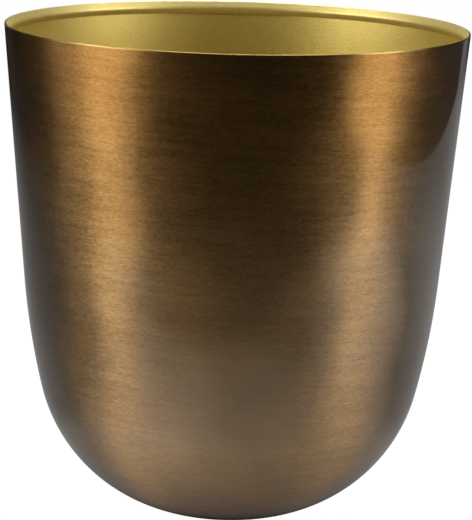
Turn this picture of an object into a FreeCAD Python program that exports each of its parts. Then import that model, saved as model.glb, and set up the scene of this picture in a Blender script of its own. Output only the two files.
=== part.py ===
import FreeCAD, Part
import math
import os
import Sketcher

# A cachepot of thin sheet steel with a round bottom, standing on the origin, +Z up.
# The wall is a rolled cone whose top edge is folded flat and turned back as a hollow hem.
# The bowl is spun, with a flat base, and a weld joins its edge to the wall's edge.
# Four felt pads under the base carry the pot.

# Driving dimensions in millimetres, and degrees for what leans: name, value, meaning
SIZES = (
    ("mouth_diameter", 300, "across the outside of the rim"),
    ("overall_height", 320, "floor to the crest of the rim"),
    ("sheet_thickness", 0.8, "sheet of the wall and the bowl"),
    ("wall_lean", 4.8, "wall from upright, in degrees, opening upwards"),
    ("hem_depth", 3.6, "outside of the rim to the nose of the hem"),
    ("hem_height", 8.3, "crest to the cut edge of the hem"),
    ("nose_drop", 4.9, "crest to the centre of the nose's bend"),
    ("nose_bend", 2.2, "inside radius of the nose's bend"),
    ("return_lean", 17, "hem below its nose, from upright, in degrees"),
    ("bowl_height", 153.5, "underside of the base to the bowl's edge"),
    ("base_diameter", 92, "flat underside of the bowl"),
    ("base_bend", 20, "outside radius of the bend round the base"),
    ("base_turn", 18, "how far that bend turns up, in degrees"),
    ("shoulder_radius", 500, "outside radius of the shoulder in section"),
    ("weld_height", 3, "melted zone between the bowl and the wall"),
    ("pad_diameter", 20, "felt pad"),
    ("pad_thickness", 1.5, "felt pad"),
    ("pad_ring_diameter", 68, "circle through the middles of the pads"),
    ("pad_count", 4, "felt pads"),
)

# Points of a sketched line or arc, and the sketch's own origin and upright axis
START = 1
END = 2
CENTRE = 3
ORIGIN = (-1, START)
UPRIGHT = -2

# Places that several pieces share, worked out from the driving dimensions
MOUTH_RADIUS = "sizes.mouth_diameter / 2"
CREST_RADIUS = "sizes.sheet_thickness"
NOSE_RADIUS = "(sizes.nose_bend + sizes.sheet_thickness)"
BASE_HEIGHT = "sizes.pad_thickness"
BOWL_EDGE_HEIGHT = "(sizes.pad_thickness + sizes.bowl_height)"
WALL_EDGE_HEIGHT = "(sizes.pad_thickness + sizes.bowl_height + sizes.weld_height)"
LEVEL_THICKNESS = "sizes.sheet_thickness / cos(sizes.wall_lean)"


def make_sheet(document):
    """Writes the driving dimensions into a spreadsheet, each cell under its own name."""
    sheet = document.addObject("Spreadsheet::Sheet", "sizes")
    for row, (name, value, meaning) in enumerate(SIZES, start=1):
        sheet.set(f"A{row}", name)
        sheet.set(f"B{row}", str(value))
        sheet.set(f"C{row}", meaning)
        sheet.setAlias(f"B{row}", name)
    document.recompute()
    return sheet


def worked_out(sketch, formula):
    """Gives the number that a formula of named sizes comes to."""
    result = sketch.evalExpression(formula)
    return getattr(result, "Value", result)


def cone_radius(height):
    """Formula for the outside radius of the leaning wall, carried down to a height."""
    rise = f"({height} - sizes.overall_height + {CREST_RADIUS})"
    return (
        f"{MOUTH_RADIUS} - {CREST_RADIUS}"
        f" + ({CREST_RADIUS} + {rise} * sin(sizes.wall_lean)) / cos(sizes.wall_lean)"
    )


def make_body(document, name):
    """Adds a body whose label is the name of the finished piece."""
    body = document.addObject("PartDesign::Body", name)
    body.Label = name
    return body


def origin_plane(body, role):
    """Finds one of the body's own origin planes."""
    return next(feature for feature in body.Origin.OriginFeatures if feature.Role == role)


def make_sketch(body, name, role):
    """Adds a sketch on one of the body's own origin planes."""
    sketch = body.newObject("Sketcher::SketchObject", name)
    sketch.AttachmentSupport = (origin_plane(body, role), [""])
    sketch.MapMode = "FlatFace"
    return sketch


def make_revolution(body, sketch):
    """Turns an upright outline once round the pot's axis."""
    revolution = body.newObject("PartDesign::Revolution", f"{body.Name}_turned")
    revolution.Profile = sketch
    revolution.ReferenceAxis = (sketch, ["V_Axis"])
    revolution.Angle = 360
    sketch.Visibility = False
    return revolution


def spot(centre, radius, angle):
    """The point at an angle on a circle, angles counted from the level outward direction."""
    return (centre[0] + radius * math.cos(angle), centre[1] + radius * math.sin(angle))


def add_line(sketch, start, end):
    """Draws a straight stretch between two points."""
    ends = [FreeCAD.Vector(across, up, 0) for across, up in (start, end)]
    return sketch.addGeometry(Part.LineSegment(*ends), False)


def add_arc(sketch, centre, radius, first_angle, last_angle):
    """Draws an arc, turning left from the first angle to the last."""
    circle = Part.Circle(FreeCAD.Vector(centre[0], centre[1], 0), FreeCAD.Vector(0, 0, 1), radius)
    return sketch.addGeometry(Part.ArcOfCircle(circle, first_angle, last_angle), False)


def tie(sketch, kind, *elements):
    """Adds a geometric constraint, such as Tangent or Coincident."""
    sketch.addConstraint(Sketcher.Constraint(kind, *elements))


def measure(sketch, name, formula, kind, *elements):
    """Adds a dimension and binds it to a formula of named sizes."""
    value = worked_out(sketch, formula)
    if kind == "Angle":
        value = math.radians(value)
    index = sketch.addConstraint(Sketcher.Constraint(kind, *elements, value))
    sketch.renameConstraint(index, name)
    sketch.setExpression(f"Constraints.{name}", formula)


def place(sketch, name, point, across=None, up=None):
    """Binds a point's distance from the axis, its height, or both."""
    if across is not None:
        measure(sketch, f"{name}_across", across, "DistanceX", *ORIGIN, *point)
    if up is not None:
        measure(sketch, f"{name}_up", up, "DistanceY", *ORIGIN, *point)


def line_stretch(start, end):
    """A straight stretch of sheet, by the two ends of its outside."""
    return ("line", start, end)


def arc_stretch(centre, radius, first_angle, last_angle):
    """A bend of the sheet towards its left, by the circle of its outside."""
    return ("arc", centre, radius, first_angle, last_angle)


def fold_stretch(corner, thickness, first_angle, last_angle):
    """A fold pressed flat: its outside turns round the corner that its inside has shrunk to."""
    return ("fold", corner, thickness, first_angle, last_angle)


def shifted_left(stretch, thickness):
    """The same stretch on the sheet's inside, which lies one thickness to its left."""
    if stretch[0] == "arc":
        centre, radius, first_angle, last_angle = stretch[1:]
        return arc_stretch(centre, radius - thickness, first_angle, last_angle)
    start, end = stretch[1:]
    heading = math.atan2(end[1] - start[1], end[0] - start[0])
    left = heading + math.pi / 2
    return line_stretch(spot(start, thickness, left), spot(end, thickness, left))


def first_point(stretch):
    """Where a stretch starts."""
    return stretch[1] if stretch[0] == "line" else spot(stretch[1], stretch[2], stretch[3])


def last_point(stretch):
    """Where a stretch ends."""
    return stretch[2] if stretch[0] == "line" else spot(stretch[1], stretch[2], stretch[4])


def draw_stretch(sketch, stretch):
    """Draws one face of a stretch."""
    return add_line(sketch, *stretch[1:]) if stretch[0] == "line" else add_arc(sketch, *stretch[1:])


def draw_inside(sketch, stretches, outer):
    """Draws the sheet's inside along the drawn outside, with a plain corner at each fold."""
    thickness = worked_out(sketch, "sizes.sheet_thickness")
    inner = []
    folded = None
    for stretch, outside in zip(stretches, outer):
        if stretch[0] == "fold":
            folded = outside
            continue
        inside = draw_stretch(sketch, shifted_left(stretch, thickness))
        if stretch[0] == "line":
            tie(sketch, "Parallel", outside, inside)
        else:
            tie(sketch, "Coincident", outside, CENTRE, inside, CENTRE)
        if folded is not None:
            tie(sketch, "Coincident", inner[-1], END, inside, START)
            tie(sketch, "Coincident", inside, START, folded, CENTRE)
        elif inner:
            tie(sketch, "Tangent", inner[-1], END, inside, START)
        inner.append(inside)
        folded = None
    return inner


def draw_sheet(sketch, stretches):
    """Draws both faces of a folded sheet and its two edges.

    Gives the stretches of the outside in order, then the first and the last edge.
    """
    outer = [draw_stretch(sketch, stretch) for stretch in stretches]
    for before, after in zip(outer, outer[1:]):
        tie(sketch, "Tangent", before, END, after, START)
    inner = draw_inside(sketch, stretches, outer)

    thickness = worked_out(sketch, "sizes.sheet_thickness")
    first_inside = shifted_left(stretches[0], thickness)
    last_inside = shifted_left(stretches[-1], thickness)
    first_edge = add_line(sketch, first_point(first_inside), first_point(stretches[0]))
    last_edge = add_line(sketch, last_point(stretches[-1]), last_point(last_inside))
    tie(sketch, "Coincident", inner[0], START, first_edge, START)
    tie(sketch, "Coincident", first_edge, END, outer[0], START)
    tie(sketch, "Coincident", outer[-1], END, last_edge, START)
    tie(sketch, "Coincident", last_edge, END, inner[-1], END)
    return outer, first_edge, last_edge


def flank_angle(crest, crest_radius, nose, nose_radius):
    """Where the flank touches the circles of the crest and the nose, on their inward side."""
    across = nose[0] - crest[0]
    up = nose[1] - crest[1]
    turn = math.acos((crest_radius - nose_radius) / math.hypot(across, up))
    return math.atan2(up, across) - turn + 2 * math.pi


def make_wall(document):
    """The rolled cone with its teardrop hem: the sheet is folded at the crest and bent at the nose."""
    body = make_body(document, "wall")
    sketch = make_sketch(body, "wall_outline", "XZ_Plane")

    crest_across = f"{MOUTH_RADIUS} - {CREST_RADIUS}"
    crest_up = f"sizes.overall_height - {CREST_RADIUS}"
    nose_across = f"{MOUTH_RADIUS} - sizes.hem_depth + {NOSE_RADIUS}"
    nose_up = "sizes.overall_height - sizes.nose_drop"
    hem_edge_up = "sizes.overall_height - sizes.hem_height"

    # The outline as it is drawn, before its dimensions are bound
    crest = (worked_out(sketch, crest_across), worked_out(sketch, crest_up))
    nose = (worked_out(sketch, nose_across), worked_out(sketch, nose_up))
    crest_radius = worked_out(sketch, CREST_RADIUS)
    nose_radius = worked_out(sketch, NOSE_RADIUS)
    lean = math.radians(worked_out(sketch, "sizes.wall_lean"))
    flank = flank_angle(crest, crest_radius, nose, nose_radius)
    back = math.pi + math.radians(worked_out(sketch, "sizes.return_lean"))
    foot = (worked_out(sketch, cone_radius(WALL_EDGE_HEIGHT)), worked_out(sketch, WALL_EDGE_HEIGHT))
    nose_end = spot(nose, nose_radius, back)
    return_length = (nose_end[1] - worked_out(sketch, hem_edge_up)) / -math.cos(back)
    tip = spot(nose_end, return_length, back + math.pi / 2)
    outer, foot_edge, cut_edge = draw_sheet(
        sketch,
        (
            line_stretch(foot, spot(crest, crest_radius, -lean)),
            fold_stretch(crest, crest_radius, -lean, flank),
            line_stretch(spot(crest, crest_radius, flank), spot(nose, nose_radius, flank)),
            arc_stretch(nose, nose_radius, flank, back),
            line_stretch(nose_end, tip),
        ),
    )
    face, crest_fold, _, nose_arc, hem_return = outer
    tie(sketch, "Horizontal", foot_edge)
    tie(sketch, "Perpendicular", hem_return, cut_edge)

    measure(sketch, "crest_radius", CREST_RADIUS, "Radius", crest_fold)
    measure(sketch, "nose_radius", NOSE_RADIUS, "Radius", nose_arc)
    measure(sketch, "face_slope", "90 - sizes.wall_lean", "Angle", face)
    measure(sketch, "return_slope", "sizes.return_lean - 90", "Angle", hem_return)
    place(sketch, "crest_centre", (crest_fold, CENTRE), across=crest_across, up=crest_up)
    place(sketch, "nose_centre", (nose_arc, CENTRE), across=nose_across, up=nose_up)
    place(sketch, "hem_edge", (hem_return, END), up=hem_edge_up)
    place(sketch, "wall_edge", (face, START), up=WALL_EDGE_HEIGHT)

    make_revolution(body, sketch)
    return body


def body_arc_between(start, start_slope, shoulder_centre, shoulder_radius):
    """Centre and radius of the arc that leaves a point at a slope and runs into the shoulder's arc."""
    inward = (-math.sin(start_slope), math.cos(start_slope))
    across = shoulder_centre[0] - start[0]
    up = shoulder_centre[1] - start[1]
    along = across * inward[0] + up * inward[1]
    radius = (shoulder_radius**2 - across**2 - up**2) / (2 * (shoulder_radius - along))
    return (start[0] + radius * inward[0], start[1] + radius * inward[1]), radius


def make_bowl(document):
    """The spun bottom: flat base, bend, round body and long shoulder, ending in line with the wall."""
    body = make_body(document, "bowl")
    sketch = make_sketch(body, "bowl_outline", "XZ_Plane")

    # The shoulder leaves the edge in line with the wall, so its centre lies square to the wall
    shoulder_across = f"{cone_radius(BOWL_EDGE_HEIGHT)} - sizes.shoulder_radius * cos(sizes.wall_lean)"
    shoulder_up = f"{BOWL_EDGE_HEIGHT} + sizes.shoulder_radius * sin(sizes.wall_lean)"

    # The outline as it is drawn, before its dimensions are bound
    base_up = worked_out(sketch, BASE_HEIGHT)
    flat_end = (worked_out(sketch, "sizes.base_diameter / 2"), base_up)
    bend = worked_out(sketch, "sizes.base_bend")
    turn = math.radians(worked_out(sketch, "sizes.base_turn"))
    lean = math.radians(worked_out(sketch, "sizes.wall_lean"))
    shoulder_radius = worked_out(sketch, "sizes.shoulder_radius")
    shoulder_centre = (worked_out(sketch, shoulder_across), worked_out(sketch, shoulder_up))
    down = -math.pi / 2
    bend_centre = (flat_end[0], base_up + bend)
    bend_end = spot(bend_centre, bend, down + turn)
    body_centre, body_radius = body_arc_between(bend_end, turn, shoulder_centre, shoulder_radius)
    meeting = math.atan2(body_centre[1] - shoulder_centre[1], body_centre[0] - shoulder_centre[0])
    outer, axis_edge, rim_edge = draw_sheet(
        sketch,
        (
            line_stretch((0, base_up), flat_end),
            arc_stretch(bend_centre, bend, down, down + turn),
            arc_stretch(body_centre, body_radius, down + turn, meeting),
            arc_stretch(shoulder_centre, shoulder_radius, meeting, -lean),
        ),
    )
    base, bend_arc, _, shoulder_arc = outer
    tie(sketch, "Horizontal", base)
    tie(sketch, "Horizontal", rim_edge)
    tie(sketch, "PointOnObject", axis_edge, START, UPRIGHT)
    tie(sketch, "PointOnObject", axis_edge, END, UPRIGHT)

    measure(sketch, "thickness", "sizes.sheet_thickness", "Distance", axis_edge)
    measure(sketch, "base_radius", "sizes.base_diameter / 2", "Distance", base)
    measure(sketch, "bend_radius", "sizes.base_bend", "Radius", bend_arc)
    measure(sketch, "bend_turn", "sizes.base_turn", "Angle", bend_arc)
    measure(sketch, "shoulder_radius", "sizes.shoulder_radius", "Radius", shoulder_arc)
    place(sketch, "shoulder_centre", (shoulder_arc, CENTRE), across=shoulder_across, up=shoulder_up)
    place(sketch, "base", (base, START), up=BASE_HEIGHT)
    place(sketch, "edge", (shoulder_arc, END), up=BOWL_EDGE_HEIGHT)

    make_revolution(body, sketch)
    return body


def make_weld(document):
    """The weld between the bowl's edge and the wall's, ground flush with both faces of the sheet."""
    body = make_body(document, "joint_weld")
    sketch = make_sketch(body, "weld_outline", "XZ_Plane")

    low_radius = cone_radius(BOWL_EDGE_HEIGHT)
    high_radius = cone_radius(WALL_EDGE_HEIGHT)
    width = worked_out(sketch, LEVEL_THICKNESS)
    low = (worked_out(sketch, low_radius), worked_out(sketch, BOWL_EDGE_HEIGHT))
    high = (worked_out(sketch, high_radius), worked_out(sketch, WALL_EDGE_HEIGHT))
    high_inside = (high[0] - width, high[1])
    low_inside = (low[0] - width, low[1])

    outer_face = add_line(sketch, low, high)
    top = add_line(sketch, high, high_inside)
    inner_face = add_line(sketch, high_inside, low_inside)
    bottom = add_line(sketch, low_inside, low)

    outline = (outer_face, top, inner_face, bottom)
    for before, after in zip(outline, outline[1:] + outline[:1]):
        tie(sketch, "Coincident", before, END, after, START)
    tie(sketch, "Horizontal", top)
    tie(sketch, "Horizontal", bottom)
    place(sketch, "low", (outer_face, START), across=low_radius, up=BOWL_EDGE_HEIGHT)
    place(sketch, "high", (outer_face, END), across=high_radius, up=WALL_EDGE_HEIGHT)
    measure(sketch, "top_width", LEVEL_THICKNESS, "Distance", top)
    measure(sketch, "bottom_width", LEVEL_THICKNESS, "Distance", bottom)

    make_revolution(body, sketch)
    return body


def make_pad(document, index):
    """One felt pad, die cut, glued under the flat base on the ring of pads."""
    body = make_body(document, f"base_pad_{index + 1}")
    sketch = make_sketch(body, f"pad_outline_{index + 1}", "XY_Plane")
    radius = worked_out(sketch, "sizes.pad_diameter / 2")
    circle = Part.Circle(FreeCAD.Vector(0, 0, 0), FreeCAD.Vector(0, 0, 1), radius)
    edge = sketch.addGeometry(circle, False)
    tie(sketch, "Coincident", edge, CENTRE, *ORIGIN)
    measure(sketch, "pad_radius", "sizes.pad_diameter / 2", "Radius", edge)
    pad = body.newObject("PartDesign::Pad", f"pad_cut_{index + 1}")
    pad.Profile = sketch
    pad.setExpression("Length", "sizes.pad_thickness")
    sketch.Visibility = False
    turn = f"(360 * {index} / sizes.pad_count)"
    body.setExpression("Placement.Base.x", f"sizes.pad_ring_diameter / 2 * cos{turn}")
    body.setExpression("Placement.Base.y", f"sizes.pad_ring_diameter / 2 * sin{turn}")
    return body


def check(document, pieces):
    """Stops if any object failed, or if a piece is empty, broken or more than one solid."""
    for item in document.Objects:
        if "Invalid" in item.State or "Error" in item.State:
            raise RuntimeError(f"{item.Name} failed")
        if item.isDerivedFrom("Sketcher::SketchObject") and not item.FullyConstrained:
            raise RuntimeError(f"{item.Name} isn't fully dimensioned")
    for piece in pieces:
        shape = piece.Shape
        if shape.isNull() or not shape.isValid() or len(shape.Solids) != 1:
            raise RuntimeError(f"{piece.Label} isn't one sound solid")


def main():
    """Builds the pot and writes each piece."""
    document = FreeCAD.newDocument("cachepot")
    sheet = make_sheet(document)
    pieces = [make_wall(document), make_bowl(document), make_weld(document)]
    pieces += [make_pad(document, index) for index in range(int(sheet.pad_count))]
    document.recompute()
    check(document, pieces)

    os.makedirs("parts", exist_ok=True)
    for piece in pieces:
        box = piece.Shape.BoundBox
        print(
            f"{piece.Label}: volume {piece.Shape.Volume:.1f}, faces {len(piece.Shape.Faces)},"
            f" across {box.XLength:.2f} x {box.YLength:.2f}, from {box.ZMin:.3f} up to {box.ZMax:.3f}"
        )
        piece.Shape.exportStep(os.path.join("parts", f"{piece.Label}.step"))


main()
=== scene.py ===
import math
from collections import namedtuple

import bpy
from bpy.props import FloatProperty, FloatVectorProperty, IntProperty, PointerProperty
from mathutils import Matrix, Vector


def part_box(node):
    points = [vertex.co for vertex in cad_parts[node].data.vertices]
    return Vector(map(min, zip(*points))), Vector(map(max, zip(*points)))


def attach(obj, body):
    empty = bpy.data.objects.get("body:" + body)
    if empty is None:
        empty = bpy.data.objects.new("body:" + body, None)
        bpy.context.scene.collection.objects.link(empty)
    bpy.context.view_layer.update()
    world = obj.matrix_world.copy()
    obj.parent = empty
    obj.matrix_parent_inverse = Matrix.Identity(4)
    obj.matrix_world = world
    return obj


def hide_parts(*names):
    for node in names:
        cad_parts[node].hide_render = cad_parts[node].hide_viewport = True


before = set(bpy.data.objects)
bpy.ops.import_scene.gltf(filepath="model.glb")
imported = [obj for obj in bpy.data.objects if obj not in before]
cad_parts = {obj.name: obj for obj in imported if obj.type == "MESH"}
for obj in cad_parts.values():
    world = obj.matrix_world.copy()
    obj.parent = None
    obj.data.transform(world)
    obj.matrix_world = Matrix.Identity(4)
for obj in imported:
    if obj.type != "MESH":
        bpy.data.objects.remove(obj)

bl_info = {
    "name": "Brushed bronze cachepot",
    "version": (1, 0, 0),
    "blender": (4, 5, 0),
    "location": "3D View > Sidebar > Cachepot",
    "description": "Models a round-bottomed sheet metal cachepot and the studio it stands in",
    "category": "Object",
}

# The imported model's corners, in metres, its pads and its one body
WALL_LOW, WALL_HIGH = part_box("wall")
BOWL_LOW, BOWL_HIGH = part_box("bowl")
PAD_NODES = sorted(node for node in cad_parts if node.startswith("base_pad"))
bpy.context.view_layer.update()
ROOT = "root"

# The photograph's height and its lens in pixels, and the camera's sensor in millimetres
IMAGE_HEIGHT = 520
FOCAL_PIXELS = 2327
SENSOR_LONG_SIDE = 36

# Modelling: the pot's axis, the axis that a section's bends turn round, and how finely points are told apart
TURN_AXIS = (0, 0, 1)
SECTION_AXIS = (0, 1, 0)
FULL_TURN = math.tau
SEED_SIZE = 0.001
MERGE_DISTANCE = 0.00001
SMOOTH_ANGLE = math.radians(35)

# Depths of the finishes' relief, in metres
BRUSH_DEPTH = 0.0003
WAVE_DEPTH = 0.004
FLAKE_DEPTH = 0.0003
FIBRE_DEPTH = 0.0003

# Heights, in metres, between which the bronze turns warmer
WARM_START = 0.2
WARM_FULL = 0.3

# Depths below the crest, in metres, at which gold paint starts to dust the bronze and where it is thickest,
# the same for the painted highlight on the hem, and how much of the finish each then takes over
DUST_START = 0.0009
DUST_FULL = 0.0004
DUST_SHARE = 0.5
HEM_HIGHLIGHT_START = 0.007
HEM_HIGHLIGHT_FULL = 0.003
HEM_HIGHLIGHT_SHARE = 0.5

# How much each pattern counts: fine, coarse, slanted and broad strokes, then strokes and clouds of the
# bronze, then flake and clouds of the gold paint
STROKE_SHARES = (0.42, 0.2, 0.2, 0.18)
BRONZE_SHARES = (0.72, 0.28)
GOLD_SHARES = (0.6, 0.4)

# World: its white, the reflected backdrop's left and right edges as slants from straight behind the pot, its
# top as the sine of an elevation, how bright it is, and how bright the room is elsewhere
WHITE = (1, 1, 1, 1)
BACKDROP_LEFT = -0.6
BACKDROP_RIGHT = 0.65
BACKDROP_TOP = 0.25
BACKDROP_STRENGTH = 0.2
ROOM_STRENGTH = 0.003

# Table as the camera sees it: its paint, its white, and how far the white covers the paint and its shadows
TABLE_PAINT = (0.9, 0.9, 0.9, 1)
TABLE_WHITE = 1.03
TABLE_COVER = 0.97

# Table as reflections see it: how bright it is, the middle of its bright patch and the distances from there
# at which it is bright and dark, the painted shadow round the pot's foot, and the fade towards the camera
TABLE_LEVEL = 0.26
TABLE_MIDDLE = (0.8, 0.5, 0)
TABLE_BRIGHT_AT = 1
TABLE_DARK_AT = 1.95
POT_FOOT = (0, 0, 0)
FOOT_SHADOW_DARK_AT = 0.05
FOOT_SHADOW_GONE_AT = 0.17
FRONT_DARK_AT = -0.66
FRONT_BRIGHT_AT = -0.34

# Pools of light on the table in reflections: place to the right of the pot's axis and behind it, how far out
# the pool is at its brightest, where it is gone, and how bright it is
TABLE_POOLS = (
    (0, -0.17, 0.08, 0.3, 0.5),
    (-0.2, -0.24, 0.03, 0.2, 0.75),
    (-0.08, -0.15, 0.03, 0.12, 0.45),
    (-0.44, -0.36, 0.05, 0.26, 0.75),
    (0.57, -0.22, 0.15, 0.35, 0.85),
    (0.29, -0.15, 0.03, 0.18, 0.6),
    (0.75, 0.3, 0, 0.5, 0.2),
)

# Softboxes beside the pot: name, angle round it from the camera, height, width, how tall it is, and power
SIDE_LAMPS = (
    ("left_softbox", math.radians(-61), 0.43, 0.42, 0.4, 4.5),
    ("left_low", math.radians(-55), 0.29, 0.3, 0.16, 0.7),
    ("left_wing", math.radians(-86), 0.5, 0.4, 0.4, 1.7),
    ("left_high", math.radians(-76), 0.95, 0.4, 0.5, 8.9),
    ("right_softbox", math.radians(68), 0.43, 0.38, 0.4, 2.7),
    ("right_wing", math.radians(76), 0.5, 0.8, 0.4, 1.7),
    ("right_high", math.radians(80), 0.95, 0.4, 0.5, 7.7),
)


class CachepotSizes(bpy.types.PropertyGroup):
    """Sizes of the folded sheet, the paint and the pads."""

    sheet_thickness: FloatProperty(
        name="Sheet thickness", description="Sheet of the wall and the bowl", default=0.0008, unit="LENGTH"
    )
    wall_lean: FloatProperty(
        name="Wall lean", description="Wall from upright, opening upwards",
        default=math.radians(4.8), unit="ROTATION",
    )
    hem_depth: FloatProperty(
        name="Hem depth", description="Outside of the rim to the nose of the hem",
        default=0.0036, unit="LENGTH",
    )
    hem_height: FloatProperty(
        name="Hem height", description="Crest to the cut edge of the hem", default=0.0083, unit="LENGTH"
    )
    nose_drop: FloatProperty(
        name="Nose drop", description="Crest to the centre of the nose's bend", default=0.0049, unit="LENGTH"
    )
    nose_bend: FloatProperty(
        name="Nose bend", description="Outside radius of the nose's bend", default=0.003, unit="LENGTH"
    )
    return_lean: FloatProperty(
        name="Return lean", description="Hem below its nose, from upright",
        default=math.radians(17), unit="ROTATION",
    )
    base_radius: FloatProperty(
        name="Base radius", description="Flat underside of the bowl", default=0.046, unit="LENGTH"
    )
    base_bend: FloatProperty(
        name="Base bend", description="Outside radius of the bend round the base",
        default=0.02, unit="LENGTH",
    )
    base_turn: FloatProperty(
        name="Base turn", description="How far that bend turns up", default=math.radians(18), unit="ROTATION"
    )
    shoulder_radius: FloatProperty(
        name="Shoulder radius", description="Outside radius of the long shoulder", default=0.5, unit="LENGTH"
    )
    paint_thickness: FloatProperty(
        name="Paint thickness", description="Gold paint on the inside", default=0.0001, unit="LENGTH"
    )
    paint_start: FloatProperty(
        name="Paint start", description="Where the paint begins on the crest's fold",
        default=math.radians(118), unit="ROTATION",
    )
    paint_reach: FloatProperty(
        name="Paint reach", description="How far the paint reaches up behind the hem",
        default=0.0015, unit="LENGTH",
    )
    pad_edge: FloatProperty(
        name="Pad edge", description="Rounded edge of a felt pad", default=0.0003, unit="LENGTH"
    )
    round_steps: IntProperty(name="Steps round the pot", description="Faces in one turn", default=256)
    bend_steps: IntProperty(
        name="Steps in a bend", description="Faces across each bend of the hem and the base", default=10
    )
    bowl_steps: IntProperty(
        name="Steps in the bowl", description="Faces across each long arc of the bowl", default=40
    )
    pad_steps: IntProperty(name="Steps round a pad", description="Faces in one turn", default=64)
    pad_edge_steps: IntProperty(
        name="Steps in a pad's edge", description="Faces across the rounded edge", default=3
    )


class CachepotFinish(bpy.types.PropertyGroup):
    """Colours of the finishes."""

    bronze: FloatVectorProperty(
        name="Bronze", description="Antique bronze where it is brushed clean", subtype="COLOR", size=4,
        default=(0.375, 0.218, 0.081, 1), min=0, max=1,
    )
    patina: FloatVectorProperty(
        name="Patina", description="Antique bronze where the patina is thicker", subtype="COLOR", size=4,
        default=(0.13, 0.071, 0.021, 1), min=0, max=1,
    )
    copper_tint: FloatVectorProperty(
        name="Copper tint", description="Warmer tone towards the crest", subtype="COLOR", size=4,
        default=(1, 0.9, 0.72, 1), min=0, max=1,
    )
    gold: FloatVectorProperty(
        name="Gold", description="Gold paint", subtype="COLOR", size=4,
        default=(0.57, 0.435, 0.118, 1), min=0, max=1,
    )
    gold_shade: FloatVectorProperty(
        name="Gold shade", description="Gold paint between its flakes", subtype="COLOR", size=4,
        default=(0.46, 0.345, 0.078, 1), min=0, max=1,
    )
    # Painted highlight: a lighter gold for the hem's band, standing in for the extra light that it catches
    hem_highlight_gold: FloatVectorProperty(
        name="Gold on the hem", description="Gold paint where it lies thickest", subtype="COLOR", size=4,
        default=(0.88, 0.73, 0.3, 1), min=0, max=1,
    )
    felt: FloatVectorProperty(
        name="Felt", description="Felt pads", subtype="COLOR", size=4,
        default=(0.05, 0.045, 0.04, 1), min=0, max=1,
    )
    felt_fibre: FloatVectorProperty(
        name="Felt fibre", description="Loose fibres of the felt", subtype="COLOR", size=4,
        default=(0.11, 0.1, 0.09, 1), min=0, max=1,
    )


class CachepotStage(bpy.types.PropertyGroup):
    """Places of the camera, the lamps and the table."""

    camera_distance: FloatProperty(
        name="Camera distance", description="Camera in front of the pot's axis", default=1.5, unit="LENGTH"
    )
    camera_height: FloatProperty(
        name="Camera height", description="Camera above the floor", default=0.4896, unit="LENGTH"
    )
    camera_pitch: FloatProperty(
        name="Camera pitch", description="How far the camera looks down",
        default=math.radians(12.21), unit="ROTATION",
    )
    camera_yaw: FloatProperty(
        name="Camera yaw", description="How far the camera looks to the right",
        default=math.radians(0.11), unit="ROTATION",
    )
    camera_roll: FloatProperty(
        name="Camera roll", description="How far the camera leans",
        default=math.radians(1.51), unit="ROTATION",
    )
    lamp_distance: FloatProperty(
        name="Lamp distance", description="Side softboxes from the pot's axis", default=1.1, unit="LENGTH"
    )
    top_height: FloatProperty(
        name="Top lamp height", description="Top softbox above the floor", default=1.6, unit="LENGTH"
    )
    top_back: FloatProperty(
        name="Top lamp back", description="Top softbox behind the pot's axis", default=0.5, unit="LENGTH"
    )
    top_size: FloatProperty(
        name="Top lamp size", description="Side of the square top softbox", default=1, unit="LENGTH"
    )
    top_power: FloatProperty(
        name="Top lamp power", description="Power of the top softbox", default=26, unit="POWER"
    )
    table_front: FloatProperty(
        name="Table front", description="Edge of the table in front of the pot's axis",
        default=0.8, unit="LENGTH",
    )
    table_left: FloatProperty(
        name="Table left", description="Edge of the table on the left", default=2, unit="LENGTH"
    )
    table_right: FloatProperty(
        name="Table right", description="Edge of the table on the right", default=1.16, unit="LENGTH"
    )
    table_back: FloatProperty(
        name="Table back", description="Edge of the table behind", default=6, unit="LENGTH"
    )


# Drawing a section and turning it round the axis

# A stretch of sheet, by one of its faces. A bend turns towards the sheet's left.
StraightStretch = namedtuple("StraightStretch", ("start", "end"))
BentStretch = namedtuple("BentStretch", ("centre", "radius", "first_angle", "last_angle", "steps"))


def on_circle(centre, radius, angle):
    """The point at an angle on a circle of the section, angles counted from the outward direction."""
    return Vector((centre.x + radius * math.cos(angle), centre.y + radius * math.sin(angle)))


def shifted_left(stretch, distance):
    """The same stretch on a face that lies some distance to its left."""
    if isinstance(stretch, BentStretch):
        return stretch._replace(radius=stretch.radius - distance)
    along = (stretch.end - stretch.start).normalized()
    left = Vector((-along.y, along.x)) * distance
    return StraightStretch(stretch.start + left, stretch.end + left)


def start_of(stretch):
    """Where a stretch starts."""
    if isinstance(stretch, BentStretch):
        return on_circle(stretch.centre, stretch.radius, stretch.first_angle)
    return stretch.start


def end_of(stretch):
    """Where a stretch ends."""
    if isinstance(stretch, BentStretch):
        return on_circle(stretch.centre, stretch.radius, stretch.last_angle)
    return stretch.end


def set_first_point(place):
    """Adds a small plane to the piece being edited and shrinks it to one point of the section."""
    bpy.ops.mesh.select_all(action="DESELECT")
    bpy.ops.mesh.primitive_plane_add(size=SEED_SIZE, location=(0, 0, 0))
    bpy.ops.mesh.merge(type="CENTER")
    bpy.ops.transform.translate(value=(place.x, 0, place.y))


def draw_to(start, end):
    """Extrudes the last point of the section in a straight line."""
    move = end - start
    if move.length > MERGE_DISTANCE:
        bpy.ops.mesh.extrude_vertices_move(TRANSFORM_OT_translate={"value": (move.x, 0, move.y)})


def draw_bend(centre, turn, steps):
    """Spins the last point of the section round the centre of a bend."""
    bpy.ops.mesh.spin(steps=steps, angle=turn, center=(centre.x, 0, centre.y), axis=SECTION_AXIS)


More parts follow.
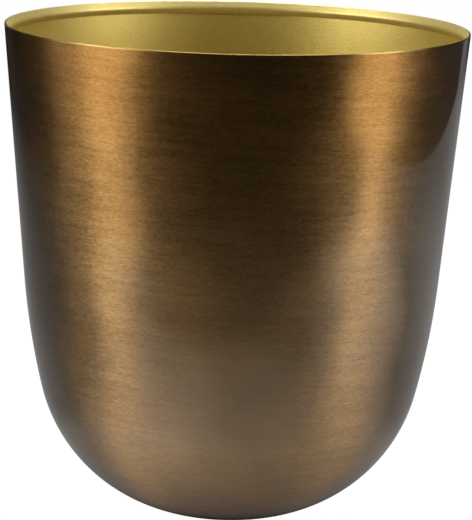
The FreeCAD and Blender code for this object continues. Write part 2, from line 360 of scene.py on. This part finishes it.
def draw_sheet(stretches, thickness):
    """Draws the section of a sheet: along one face, over its edge, back along the other face and home.

    A bend folded flat has no arc on its inside. A section that ends on the pot's axis is closed by its turn.
    """
    start = start_of(stretches[0])
    set_first_point(start)
    for stretch in stretches:
        if isinstance(stretch, StraightStretch):
            draw_to(stretch.start, stretch.end)
        else:
            draw_bend(stretch.centre, stretch.last_angle - stretch.first_angle, stretch.steps)
    here = end_of(stretches[-1])
    for stretch in reversed(stretches):
        behind = shifted_left(stretch, thickness)
        draw_to(here, end_of(behind))
        if isinstance(behind, StraightStretch):
            draw_to(behind.end, behind.start)
        elif behind.radius > MERGE_DISTANCE:
            draw_bend(behind.centre, behind.first_angle - behind.last_angle, behind.steps)
        here = start_of(behind)
    if abs(here.x) > MERGE_DISTANCE:
        draw_to(here, start)


def begin_piece(name):
    """Adds the object of a new piece at the origin and opens its empty mesh for editing."""
    bpy.ops.object.select_all(action="DESELECT")
    bpy.ops.mesh.primitive_plane_add(size=SEED_SIZE, location=(0, 0, 0))
    piece = bpy.context.object
    piece.name = name
    piece.data.name = name
    bpy.ops.object.mode_set(mode="EDIT")
    bpy.ops.mesh.delete(type="VERT")
    return piece


def turn_section(steps):
    """Spins the section once round the pot's axis, closes it, and leaves edit mode."""
    bpy.ops.mesh.select_all(action="SELECT")
    bpy.ops.mesh.remove_doubles(threshold=MERGE_DISTANCE)
    bpy.ops.mesh.spin(steps=steps, angle=FULL_TURN, center=(0, 0, 0), axis=TURN_AXIS)
    bpy.ops.mesh.select_all(action="SELECT")
    bpy.ops.mesh.remove_doubles(threshold=MERGE_DISTANCE)
    bpy.ops.mesh.normals_make_consistent(inside=False)
    bpy.ops.object.mode_set(mode="OBJECT")
    bpy.ops.object.shade_smooth_by_angle(angle=SMOOTH_ANGLE)


def move_mesh(distance):
    """Moves the whole mesh of the active object, and leaves the object where it is."""
    bpy.ops.object.mode_set(mode="EDIT")
    bpy.ops.mesh.select_all(action="SELECT")
    bpy.ops.transform.translate(value=distance)
    bpy.ops.object.mode_set(mode="OBJECT")


def finish_piece(piece, material, slot, *nodes):
    """Gives a piece its finish, sets it on the pot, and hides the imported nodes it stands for."""
    piece.data.materials.clear()
    piece.data.materials.append(material)
    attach(piece, ROOT)
    if nodes:
        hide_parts(*nodes)


# Sections of the pot


def wall_stretches(sizes):
    """Outside of the wall from its lower edge, over the folded crest and round the nose to the cut edge."""
    fold = sizes.sheet_thickness
    lean = sizes.wall_lean
    crest = Vector((WALL_HIGH.x - fold, WALL_HIGH.z - fold))
    nose = Vector((WALL_HIGH.x - sizes.hem_depth + sizes.nose_bend, WALL_HIGH.z - sizes.nose_drop))
    back = math.pi + sizes.return_lean

    # The straight flank between the crest's fold and the nose's bend touches both circles at one angle
    between = nose - crest
    lean_in = math.acos((fold - sizes.nose_bend) / between.length)
    flank = math.atan2(between.y, between.x) - lean_in + FULL_TURN

    shoulder = on_circle(crest, fold, -lean)
    rise = shoulder.y - WALL_LOW.z
    foot = Vector((shoulder.x - rise * math.tan(lean), WALL_LOW.z))
    nose_end = on_circle(nose, sizes.nose_bend, back)
    drop = nose_end.y - (WALL_HIGH.z - sizes.hem_height)
    tip = nose_end + Vector((drop * math.tan(sizes.return_lean), -drop))
    steps = sizes.bend_steps
    return (
        StraightStretch(foot, shoulder),
        BentStretch(crest, fold, -lean, flank, steps),
        StraightStretch(on_circle(crest, fold, flank), on_circle(nose, sizes.nose_bend, flank)),
        BentStretch(nose, sizes.nose_bend, flank, back, steps),
        StraightStretch(nose_end, tip),
    )


def wall_line_at(sizes, height):
    """Outside of the leaning wall, carried down to a height."""
    shoulder = end_of(wall_stretches(sizes)[0])
    return Vector((shoulder.x - (shoulder.y - height) * math.tan(sizes.wall_lean), height))


def bowl_stretches(sizes):
    """Outside of the bowl from the middle of its base, round the bend, the body and the shoulder."""
    edge = wall_line_at(sizes, BOWL_HIGH.z)
    shoulder_centre = on_circle(edge, sizes.shoulder_radius, math.pi - sizes.wall_lean)
    flat_end = Vector((sizes.base_radius, BOWL_LOW.z))
    bend_centre = flat_end + Vector((0, sizes.base_bend))
    down = -math.pi / 2
    turned = down + sizes.base_turn
    bend_end = on_circle(bend_centre, sizes.base_bend, turned)

    # The body's arc leaves the bend smoothly and runs smoothly into the shoulder's arc
    inward = (bend_centre - bend_end).normalized()
    across = shoulder_centre - bend_end
    shortfall = sizes.shoulder_radius - across.dot(inward)
    body_radius = (sizes.shoulder_radius**2 - across.length_squared) / shortfall / 2
    body_centre = bend_end + inward * body_radius
    reach = body_centre - shoulder_centre
    meeting = math.atan2(reach.y, reach.x)
    steps = sizes.bowl_steps
    return (
        StraightStretch(Vector((0, BOWL_LOW.z)), flat_end),
        BentStretch(bend_centre, sizes.base_bend, down, turned, sizes.bend_steps),
        BentStretch(body_centre, body_radius, turned, meeting, steps),
        BentStretch(shoulder_centre, sizes.shoulder_radius, meeting, -sizes.wall_lean, steps),
    )


def weld_stretch(sizes):
    """Outside of the weld, from the bowl's edge up to the wall's."""
    return StraightStretch(wall_line_at(sizes, BOWL_HIGH.z), wall_line_at(sizes, WALL_LOW.z))


# Felt pads


def model_pad(sizes, low, high):
    """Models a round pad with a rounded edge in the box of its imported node."""
    bpy.ops.object.select_all(action="DESELECT")
    bpy.ops.mesh.primitive_cylinder_add(
        vertices=sizes.pad_steps, radius=(high.y - low.y) / 2, depth=high.z - low.z, location=(0, 0, 0)
    )
    bpy.ops.object.mode_set(mode="EDIT")
    bpy.ops.mesh.select_all(action="DESELECT")
    bpy.ops.mesh.edges_select_sharp(sharpness=SMOOTH_ANGLE)
    bpy.ops.mesh.bevel(offset=sizes.pad_edge, segments=sizes.pad_edge_steps)
    bpy.ops.object.mode_set(mode="OBJECT")
    move_mesh((low + high) / 2)
    bpy.ops.object.shade_smooth_by_angle(angle=SMOOTH_ANGLE)
    return bpy.context.object


def copy_pad(pad, distance):
    """Copies a pad, with a mesh of its own, and moves the copy's mesh."""
    bpy.ops.object.select_all(action="DESELECT")
    pad.select_set(True)
    bpy.context.view_layer.objects.active = pad
    bpy.ops.object.duplicate(linked=False)
    move_mesh(distance)
    return bpy.context.object


# Node helpers, the patterns that the finishes share, and the finishes


def add_node(tree, kind, **settings):
    """Adds a node and sets its own properties, or its inputs by their names with underscores for spaces."""
    node = tree.nodes.new(kind)
    for name, value in settings.items():
        if hasattr(node, name):
            setattr(node, name, value)
        else:
            node.inputs[name.replace("_", " ")].default_value = value
    return node


def wire(tree, start, end):
    """Links an output to an input."""
    tree.links.new(start, end)


def feed(tree, socket, value):
    """Links an output to an input, or sets the input where the value is a number or a colour."""
    if isinstance(value, bpy.types.NodeSocket):
        wire(tree, value, socket)
    else:
        socket.default_value = value


def compute(tree, operation, first, second):
    """Adds a Math node on outputs or numbers and gives its result."""
    node = add_node(tree, "ShaderNodeMath", operation=operation)
    feed(tree, node.inputs[0], first)
    feed(tree, node.inputs[1], second)
    return node.outputs[0]


def separate(tree, place):
    """Splits a place into its outputs X, Y and Z."""
    split = add_node(tree, "ShaderNodeSeparateXYZ")
    wire(tree, place, split.inputs[0])
    return split.outputs


def add_socket(group, name, direction, kind="NodeSocketFloat"):
    """Adds a named input or output to a node group."""
    group.interface.new_socket(name=name, in_out=direction, socket_type=kind)


def start_group(name, *inputs):
    """Adds a node group with a place, named inputs and a mask, and gives it with its two ends."""
    group = bpy.data.node_groups.new(name, "ShaderNodeTree")
    add_socket(group, "Place", "INPUT", "NodeSocketVector")
    for item in inputs:
        add_socket(group, item, "INPUT")
    add_socket(group, "Mask", "OUTPUT")
    return group, add_node(group, "NodeGroupInput"), add_node(group, "NodeGroupOutput")


def grain_group():
    """Noise that runs round the pot: long thin streaks, or specks where both counts are alike."""
    group, given, result = start_group("grain", "Round the pot", "Up the pot", "Slant", "Low", "High")
    across = separate(group, given.outputs["Place"])
    level = add_node(group, "ShaderNodeCombineXYZ")
    wire(group, across["X"], level.inputs["X"])
    wire(group, across["Y"], level.inputs["Y"])
    radius = add_node(group, "ShaderNodeVectorMath", operation="LENGTH")
    wire(group, level.outputs[0], radius.inputs[0])
    climb = compute(group, "ADD", across["Z"], radius.outputs["Value"])
    slanted = compute(group, "MULTIPLY", across["X"], given.outputs["Slant"])
    climb = compute(group, "ADD", climb, slanted)
    stretched = add_node(group, "ShaderNodeCombineXYZ")
    for axis in ("X", "Y"):
        scaled = compute(group, "MULTIPLY", across[axis], given.outputs["Round the pot"])
        wire(group, scaled, stretched.inputs[axis])
    wire(group, compute(group, "MULTIPLY", climb, given.outputs["Up the pot"]), stretched.inputs["Z"])
    noise = add_node(group, "ShaderNodeTexNoise", Scale=1, Detail=4, Roughness=0.6)
    wire(group, stretched.outputs[0], noise.inputs["Vector"])
    spread = add_node(group, "ShaderNodeMapRange")
    wire(group, noise.outputs["Fac"], spread.inputs["Value"])
    wire(group, given.outputs["Low"], spread.inputs["From Min"])
    wire(group, given.outputs["High"], spread.inputs["From Max"])
    wire(group, spread.outputs["Result"], result.inputs["Mask"])
    return group


def mottle_group():
    """Slow, soft variation over the whole piece, such as patina or uneven paint."""
    group, given, result = start_group("mottling", "Fineness")
    noise = add_node(group, "ShaderNodeTexNoise", Detail=5, Roughness=0.55, Distortion=0.4)
    wire(group, given.outputs["Place"], noise.inputs["Vector"])
    wire(group, given.outputs["Fineness"], noise.inputs["Scale"])
    spread = add_node(group, "ShaderNodeMapRange", From_Min=0.3, From_Max=0.7)
    wire(group, noise.outputs["Fac"], spread.inputs["Value"])
    wire(group, spread.outputs["Result"], result.inputs["Mask"])
    return group


def wave_group():
    """Slow waves of a sheet that is nearly flat."""
    group, given, result = start_group("waves", "Fineness")
    noise = add_node(group, "ShaderNodeTexNoise", Detail=0.5, Roughness=0.3)
    wire(group, given.outputs["Place"], noise.inputs["Vector"])
    wire(group, given.outputs["Fineness"], noise.inputs["Scale"])
    wire(group, noise.outputs["Fac"], result.inputs["Mask"])
    return group


def shared_group(name, build):
    """Finds a node group that an earlier finish made, or builds it."""
    return bpy.data.node_groups.get(name) or build()


def set_inputs(node, **values):
    """Sets inputs of a node by their names, with underscores for spaces."""
    for name, value in values.items():
        node.inputs[name.replace("_", " ")].default_value = value


def place_group(tree, group, place, **values):
    """Puts a shared group into a material with its own values and gives its mask."""
    node = add_node(tree, "ShaderNodeGroup", node_tree=group)
    wire(tree, place, node.inputs["Place"])
    set_inputs(node, **values)
    return node.outputs["Mask"]


def blend_colours(tree, factor, first, second, blend_type="MIX"):
    """Mixes two colours by a mask."""
    mix = add_node(tree, "ShaderNodeMix", data_type="RGBA", blend_type=blend_type)
    wire(tree, factor, mix.inputs["Factor"])
    feed(tree, mix.inputs["A"], first)
    feed(tree, mix.inputs["B"], second)
    return mix.outputs["Result"]


def spread_between(tree, factor, low, high):
    """Turns a mask into a number between two limits."""
    spread = add_node(tree, "ShaderNodeMapRange", To_Min=low, To_Max=high)
    wire(tree, factor, spread.inputs["Value"])
    return spread.outputs["Result"]


def rise_between(tree, value, start, full, level=1):
    """A mask that is nothing where a value is at its start, and rises to its level where it is full."""
    spread = add_node(tree, "ShaderNodeMapRange", From_Min=start, From_Max=full, To_Max=level)
    wire(tree, value, spread.inputs["Value"])
    return spread.outputs["Result"]


def weigh(tree, masks, shares):
    """Adds masks up, each by its share."""
    total = compute(tree, "MULTIPLY", masks[0], shares[0])
    for mask, share in zip(masks[1:], shares[1:]):
        total = compute(tree, "ADD", total, compute(tree, "MULTIPLY", mask, share))
    return total


def raise_surface(tree, height, strength, distance, under=None):
    """Bumps the surface by a mask, over another bump where one is given."""
    bump = add_node(tree, "ShaderNodeBump", Strength=strength, Distance=distance)
    wire(tree, height, bump.inputs["Height"])
    if under:
        wire(tree, under, bump.inputs["Normal"])
    return bump.outputs["Normal"]


def new_finish(name):
    """Adds a material with a Principled shader and gives it with its tree, shader and object coordinates."""
    material = bpy.data.materials.new(name)
    material.use_nodes = True
    tree = material.node_tree
    shader = tree.nodes["Principled BSDF"]
    place = add_node(tree, "ShaderNodeTexCoord").outputs["Object"]
    return material, tree, shader, place


def bronze_finish(finish):
    """Brushed antique bronze under clear lacquer, warmer and dusted with gold paint at the crest."""
    if "brushed_bronze" in bpy.data.materials:
        return bpy.data.materials["brushed_bronze"]
    material, tree, shader, place = new_finish("brushed_bronze")
    grain = shared_group("grain", grain_group)
    mottling = shared_group("mottling", mottle_group)
    waving = shared_group("waves", wave_group)
    fine = place_group(tree, grain, place, Round_the_pot=330, Up_the_pot=1300, Low=0.41, High=0.59)
    coarse = place_group(
        tree, grain, place, Round_the_pot=90, Up_the_pot=700, Slant=0.04, Low=0.36, High=0.64
    )
    hairs = place_group(
        tree, grain, place, Round_the_pot=100, Up_the_pot=1000, Slant=-0.3, Low=0.45, High=0.6
    )
    broad = place_group(tree, grain, place, Round_the_pot=16, Up_the_pot=260, Slant=0.05, Low=0.4, High=0.6)
    clouds = place_group(tree, mottling, place, Fineness=11)
    waves = place_group(tree, waving, place, Fineness=20)
    slanted = compute(tree, "MULTIPLY", hairs, clouds)
    strokes = weigh(tree, (fine, coarse, slanted, broad), STROKE_SHARES)
    tone = blend_colours(tree, weigh(tree, (strokes, clouds), BRONZE_SHARES), finish.patina, finish.bronze)

    height = separate(tree, place)["Z"]
    warmth = rise_between(tree, height, WARM_START, WARM_FULL)
    tone = blend_colours(tree, warmth, tone, finish.copper_tint, blend_type="MULTIPLY")
    dust = rise_between(tree, height, WALL_HIGH.z - DUST_START, WALL_HIGH.z - DUST_FULL)
    tone = blend_colours(tree, compute(tree, "MULTIPLY", dust, DUST_SHARE), tone, finish.gold_shade)

    brushed = raise_surface(tree, strokes, strength=0.13, distance=BRUSH_DEPTH)
    raised = raise_surface(tree, waves, strength=0.8, distance=WAVE_DEPTH, under=brushed)
    around = add_node(tree, "ShaderNodeTangent", direction_type="RADIAL", axis="Z")
    wire(tree, tone, shader.inputs["Base Color"])
    wire(tree, spread_between(tree, strokes, low=0.37, high=0.52), shader.inputs["Roughness"])
    wire(tree, compute(tree, "SUBTRACT", 1, dust), shader.inputs["Coat Weight"])
    wire(tree, raised, shader.inputs["Normal"])
    wire(tree, around.outputs["Tangent"], shader.inputs["Tangent"])
    set_inputs(shader, Metallic=1, Anisotropic=0.87, Anisotropic_Rotation=0.25)
    set_inputs(shader, Coat_Roughness=0.05, Coat_IOR=1.5)
    return material


def gold_finish(finish):
    """Satin gold paint with fine metal flake, a little uneven as sprayed, and a painted highlight on the
    hem.
    """
    material, tree, shader, place = new_finish("sprayed_gold")
    grain = shared_group("grain", grain_group)
    mottling = shared_group("mottling", mottle_group)
    flake = place_group(tree, grain, place, Round_the_pot=850, Up_the_pot=850, Low=0.4, High=0.6)
    clouds = place_group(tree, mottling, place, Fineness=14)
    tone = blend_colours(tree, weigh(tree, (flake, clouds), GOLD_SHARES), finish.gold_shade, finish.gold)

    height = separate(tree, place)["Z"]
    # Painted highlight: the hem's gold turns lighter where its tilted band catches more light
    hem_highlight_mask = rise_between(
        tree, height, WALL_HIGH.z - HEM_HIGHLIGHT_START, WALL_HIGH.z - HEM_HIGHLIGHT_FULL, HEM_HIGHLIGHT_SHARE
    )
    wire(tree, blend_colours(tree, hem_highlight_mask, tone, finish.hem_highlight_gold), shader.inputs["Base Color"])
    wire(tree, spread_between(tree, flake, low=0.38, high=0.5), shader.inputs["Roughness"])
    wire(tree, raise_surface(tree, flake, strength=0.16, distance=FLAKE_DEPTH), shader.inputs["Normal"])
    set_inputs(shader, Metallic=0.66)
    return material


def felt_finish(finish):
    """Dense dark felt with loose fibres."""
    material, tree, shader, place = new_finish("dark_felt")
    grain = shared_group("grain", grain_group)
    mottling = shared_group("mottling", mottle_group)
    fibres = place_group(tree, grain, place, Round_the_pot=2500, Up_the_pot=5200, Low=0.35, High=0.7)
    clouds = place_group(tree, mottling, place, Fineness=220)
    shade = compute(tree, "MULTIPLY", fibres, clouds)
    wire(tree, blend_colours(tree, shade, finish.felt, finish.felt_fibre), shader.inputs["Base Color"])
    wire(tree, raise_surface(tree, fibres, strength=0.6, distance=FIBRE_DEPTH), shader.inputs["Normal"])
    set_inputs(shader, Roughness=0.95, Sheen_Weight=0.3)
    return material


# Camera, lamps, world and table


def aim_camera(stage):
    """Adds the camera at the photograph's place, pitch, yaw, roll and focal length."""
    data = bpy.data.cameras.new("camera")
    data.sensor_width = SENSOR_LONG_SIDE
    data.lens = SENSOR_LONG_SIDE * FOCAL_PIXELS / IMAGE_HEIGHT
    camera = bpy.data.objects.new("camera", data)
    bpy.context.scene.collection.objects.link(camera)
    forward = Vector(
        (
            math.sin(stage.camera_yaw) * math.cos(stage.camera_pitch),
            math.cos(stage.camera_yaw) * math.cos(stage.camera_pitch),
            -math.sin(stage.camera_pitch),
        )
    )
    right = Vector((math.cos(stage.camera_yaw), -math.sin(stage.camera_yaw), 0))
    up = right.cross(forward)
    across = math.cos(stage.camera_roll) * right + math.sin(stage.camera_roll) * up
    upright = math.cos(stage.camera_roll) * up - math.sin(stage.camera_roll) * right
    turned = Matrix((across, upright, -forward)).transposed()
    place = Matrix.Translation((0, -stage.camera_distance, stage.camera_height))
    camera.matrix_world = place @ turned.to_4x4()
    bpy.context.scene.camera = camera


def add_softbox(name, place, target, width, height, power):
    """Adds a rectangular lamp that faces a point and that the camera doesn't see."""
    data = bpy.data.lights.new(name, "AREA")
    data.shape = "RECTANGLE"
    data.size = width
    data.size_y = height
    data.energy = power
    lamp = bpy.data.objects.new(name, data)
    bpy.context.scene.collection.objects.link(lamp)
    lamp.location = place
    lamp.rotation_euler = (target - place).to_track_quat("-Z", "Y").to_euler()
    lamp.visible_camera = False


def paint_world(world):
    """White to the camera and through glass. Reflections see a dim backdrop and a dark room."""
    world.use_nodes = True
    tree = world.node_tree
    tree.nodes.clear()
    towards = separate(tree, add_node(tree, "ShaderNodeTexCoord").outputs["Generated"])
    slant = compute(tree, "DIVIDE", towards["X"], towards["Y"])
    edges = (
        compute(tree, "GREATER_THAN", slant, BACKDROP_LEFT),
        compute(tree, "LESS_THAN", slant, BACKDROP_RIGHT),
        compute(tree, "LESS_THAN", towards["Z"], BACKDROP_TOP),
    )
    backdrop = compute(tree, "GREATER_THAN", towards["Y"], 0)
    for edge in edges:
        backdrop = compute(tree, "MULTIPLY", backdrop, edge)
    path = add_node(tree, "ShaderNodeLightPath").outputs
    reflected = compute(tree, "MULTIPLY", backdrop, path["Is Glossy Ray"])
    reflected = compute(tree, "MULTIPLY", reflected, BACKDROP_STRENGTH)
    straight = compute(tree, "MAXIMUM", path["Is Camera Ray"], path["Is Transmission Ray"])
    bright = compute(tree, "MAXIMUM", straight, reflected)
    background = add_node(tree, "ShaderNodeBackground", Color=WHITE)
    wire(tree, spread_between(tree, bright, low=ROOM_STRENGTH, high=1), background.inputs["Strength"])
    output = add_node(tree, "ShaderNodeOutputWorld")
    wire(tree, background.outputs[0], output.inputs["Surface"])


def light_spot(tree, place, centre, dark_at, bright_at, level):
    """How bright the table is round a centre: dark at one distance from it, and at its level at another."""
    away = add_node(tree, "ShaderNodeVectorMath", operation="DISTANCE")
    wire(tree, place, away.inputs[0])
    away.inputs[1].default_value = centre
    return rise_between(tree, away.outputs["Value"], dark_at, bright_at, level)


def reflected_table(tree):
    """Table in reflections: a dim patch with pools of light, a painted shadow at the pot's foot, dark in
    front.
    """
    place = add_node(tree, "ShaderNodeTexCoord").outputs["Object"]
    level = light_spot(tree, place, TABLE_MIDDLE, TABLE_DARK_AT, TABLE_BRIGHT_AT, TABLE_LEVEL)
    for right, behind, bright_to, gone_at, strength in TABLE_POOLS:
        pool = light_spot(tree, place, (right, behind, 0), gone_at, bright_to, strength)
        level = compute(tree, "ADD", level, pool)
    # Painted shadow of the pot on the table round its foot
    foot = light_spot(tree, place, POT_FOOT, FOOT_SHADOW_DARK_AT, FOOT_SHADOW_GONE_AT, level=1)
    front = rise_between(tree, separate(tree, place)["Y"], FRONT_DARK_AT, FRONT_BRIGHT_AT)
    level = compute(tree, "MULTIPLY", level, foot)
    return compute(tree, "MULTIPLY", level, front)


def floor_finish():
    """White table that keeps a faint shadow. Reflections see it dimmer, with pools of light."""
    material = bpy.data.materials.new("table_white")
    material.use_nodes = True
    tree = material.node_tree
    tree.nodes.clear()
    path = add_node(tree, "ShaderNodeLightPath").outputs
    straight = compute(tree, "MAXIMUM", path["Is Camera Ray"], path["Is Transmission Ray"])
    reflected = compute(tree, "MULTIPLY", path["Is Glossy Ray"], reflected_table(tree))
    strength = compute(tree, "MAXIMUM", compute(tree, "MULTIPLY", straight, TABLE_WHITE), reflected)
    seen = compute(tree, "MAXIMUM", straight, path["Is Glossy Ray"])
    paint = add_node(tree, "ShaderNodeBsdfDiffuse", Color=TABLE_PAINT)
    white = add_node(tree, "ShaderNodeEmission", Color=WHITE)
    wire(tree, strength, white.inputs["Strength"])
    mix = add_node(tree, "ShaderNodeMixShader")
    wire(tree, compute(tree, "MULTIPLY", seen, TABLE_COVER), mix.inputs[0])
    wire(tree, paint.outputs[0], mix.inputs[1])
    wire(tree, white.outputs[0], mix.inputs[2])
    output = add_node(tree, "ShaderNodeOutputMaterial")
    wire(tree, mix.outputs[0], output.inputs["Surface"])
    return material


# Operators, one for each piece or group of like pieces, and one for the stage


class CACHEPOT_OT_wall_sheet(bpy.types.Operator):
    """Model the rolled wall with its folded crest and hollow hem"""

    bl_idname = "cachepot.wall_sheet"
    bl_label = "Wall sheet"

    def execute(self, context):
        sizes = context.scene.cachepot_sizes
        piece = begin_piece("wall_sheet")
        draw_sheet(wall_stretches(sizes), sizes.sheet_thickness)
        turn_section(sizes.round_steps)
        finish_piece(piece, bronze_finish(context.scene.cachepot_finish), "antique_bronze", "wall")
        return {"FINISHED"}


class CACHEPOT_OT_bowl_sheet(bpy.types.Operator):
    """Model the spun bottom with its flat base"""

    bl_idname = "cachepot.bowl_sheet"
    bl_label = "Bowl sheet"

    def execute(self, context):
        sizes = context.scene.cachepot_sizes
        piece = begin_piece("bowl_sheet")
        draw_sheet(bowl_stretches(sizes), sizes.sheet_thickness)
        turn_section(sizes.round_steps)
        finish_piece(piece, bronze_finish(context.scene.cachepot_finish), "antique_bronze", "bowl")
        return {"FINISHED"}


class CACHEPOT_OT_weld_ring(bpy.types.Operator):
    """Model the weld between the bowl and the wall, ground flush"""

    bl_idname = "cachepot.weld_ring"
    bl_label = "Weld ring"

    def execute(self, context):
        sizes = context.scene.cachepot_sizes
        piece = begin_piece("weld_ring")
        draw_sheet((weld_stretch(sizes),), sizes.sheet_thickness)
        turn_section(sizes.round_steps)
        finish_piece(piece, bronze_finish(context.scene.cachepot_finish), "antique_bronze", "joint_weld")
        return {"FINISHED"}


class CACHEPOT_OT_inside_paint(bpy.types.Operator):
    """Model the gold paint as a thin film on the hem and on the inside of the pot"""

    bl_idname = "cachepot.inside_paint"
    bl_label = "Inside paint"

    def execute(self, context):
        sizes = context.scene.cachepot_sizes
        piece = begin_piece("inside_paint")
        fold, *hem = wall_stretches(sizes)[1:]
        painted_fold = fold._replace(first_angle=sizes.paint_start)
        draw_sheet((painted_fold, *hem), -sizes.paint_thickness)

        paint_top = WALL_HIGH.z - sizes.hem_height + sizes.paint_reach
        up_wall = StraightStretch(wall_line_at(sizes, WALL_LOW.z), wall_line_at(sizes, paint_top))
        lining = (*bowl_stretches(sizes), weld_stretch(sizes), up_wall)
        inside = tuple(shifted_left(stretch, sizes.sheet_thickness) for stretch in lining)
        draw_sheet(inside, sizes.paint_thickness)
        turn_section(sizes.round_steps)
        finish_piece(piece, gold_finish(context.scene.cachepot_finish), "gold_paint")
        return {"FINISHED"}


class CACHEPOT_OT_felt_pads(bpy.types.Operator):
    """Model one felt pad and copy it to each place under the base"""

    bl_idname = "cachepot.felt_pads"
    bl_label = "Felt pads"

    def execute(self, context):
        sizes = context.scene.cachepot_sizes
        finish = felt_finish(context.scene.cachepot_finish)
        low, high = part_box(PAD_NODES[0])
        first = model_pad(sizes, low, high)
        pads = [first]
        for node in PAD_NODES[1:]:
            pad_low, pad_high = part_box(node)
            pads.append(copy_pad(first, (pad_low + pad_high) / 2 - (low + high) / 2))
        for pad, node in zip(pads, PAD_NODES):
            pad.name = node.replace("base_pad", "felt_pad")
            pad.data.name = pad.name
            finish_piece(pad, finish, "felt", node)
        return {"FINISHED"}


class CACHEPOT_OT_stage(bpy.types.Operator):
    """Set up the floor, the lamps, the world and the camera"""

    bl_idname = "cachepot.stage"
    bl_label = "Stage"

    def execute(self, context):
        stage = context.scene.cachepot_stage
        bpy.ops.object.select_all(action="DESELECT")
        wide = stage.table_left + stage.table_right
        deep = stage.table_front + stage.table_back
        bpy.ops.mesh.primitive_plane_add(size=1, location=(0, 0, 0))
        floor = context.object
        floor.name = "floor"
        bpy.ops.object.mode_set(mode="EDIT")
        bpy.ops.transform.resize(value=(wide, deep, 1))
        bpy.ops.transform.translate(value=(stage.table_right - wide / 2, deep / 2 - stage.table_front, 0))
        bpy.ops.object.mode_set(mode="OBJECT")
        floor.data.materials.append(floor_finish())
        for name, angle, lift, width, tall, power in SIDE_LAMPS:
            aim = Vector((0, 0, lift))
            place = aim + Vector((math.sin(angle), -math.cos(angle), 0)) * stage.lamp_distance
            add_softbox(name, place, aim, width, tall, power)
        above = Vector((0, stage.top_back, stage.top_height))
        add_softbox("top_softbox", above, Vector((0, 0, 0)), stage.top_size, stage.top_size, stage.top_power)
        context.scene.world = bpy.data.worlds.new("studio")
        paint_world(context.scene.world)
        aim_camera(stage)
        context.scene.view_settings.view_transform = "Standard"
        return {"FINISHED"}


class VIEW3D_PT_cachepot(bpy.types.Panel):
    """Sizes, colours and the buttons that build the pot"""

    bl_idname = "VIEW3D_PT_cachepot"
    bl_label = "Cachepot"
    bl_space_type = "VIEW_3D"
    bl_region_type = "UI"
    bl_category = "Cachepot"

    def draw(self, context):
        scene = context.scene
        for group in (scene.cachepot_sizes, scene.cachepot_finish, scene.cachepot_stage):
            box = self.layout.box()
            for name in group.__annotations__:
                box.prop(group, name)
        for operator in OPERATORS:
            self.layout.operator(operator.bl_idname)


GROUPS = (CachepotSizes, CachepotFinish, CachepotStage)
OPERATORS = (
    CACHEPOT_OT_wall_sheet,
    CACHEPOT_OT_bowl_sheet,
    CACHEPOT_OT_weld_ring,
    CACHEPOT_OT_inside_paint,
    CACHEPOT_OT_felt_pads,
    CACHEPOT_OT_stage,
)


def register():
    """Registers the classes and puts the settings on the scene."""
    for item in (*GROUPS, *OPERATORS, VIEW3D_PT_cachepot):
        bpy.utils.register_class(item)
    bpy.types.Scene.cachepot_sizes = PointerProperty(type=CachepotSizes)
    bpy.types.Scene.cachepot_finish = PointerProperty(type=CachepotFinish)
    bpy.types.Scene.cachepot_stage = PointerProperty(type=CachepotStage)


def unregister():
    """Takes the settings off the scene and unregisters the classes."""
    del bpy.types.Scene.cachepot_stage
    del bpy.types.Scene.cachepot_finish
    del bpy.types.Scene.cachepot_sizes
    for item in reversed((*GROUPS, *OPERATORS, VIEW3D_PT_cachepot)):
        bpy.utils.unregister_class(item)


def main():
    """Builds every piece and the stage."""
    register()
    bpy.ops.cachepot.wall_sheet()
    bpy.ops.cachepot.bowl_sheet()
    bpy.ops.cachepot.weld_ring()
    bpy.ops.cachepot.inside_paint()
    bpy.ops.cachepot.felt_pads()
    bpy.ops.cachepot.stage()


if __name__ == "__main__":
    main()
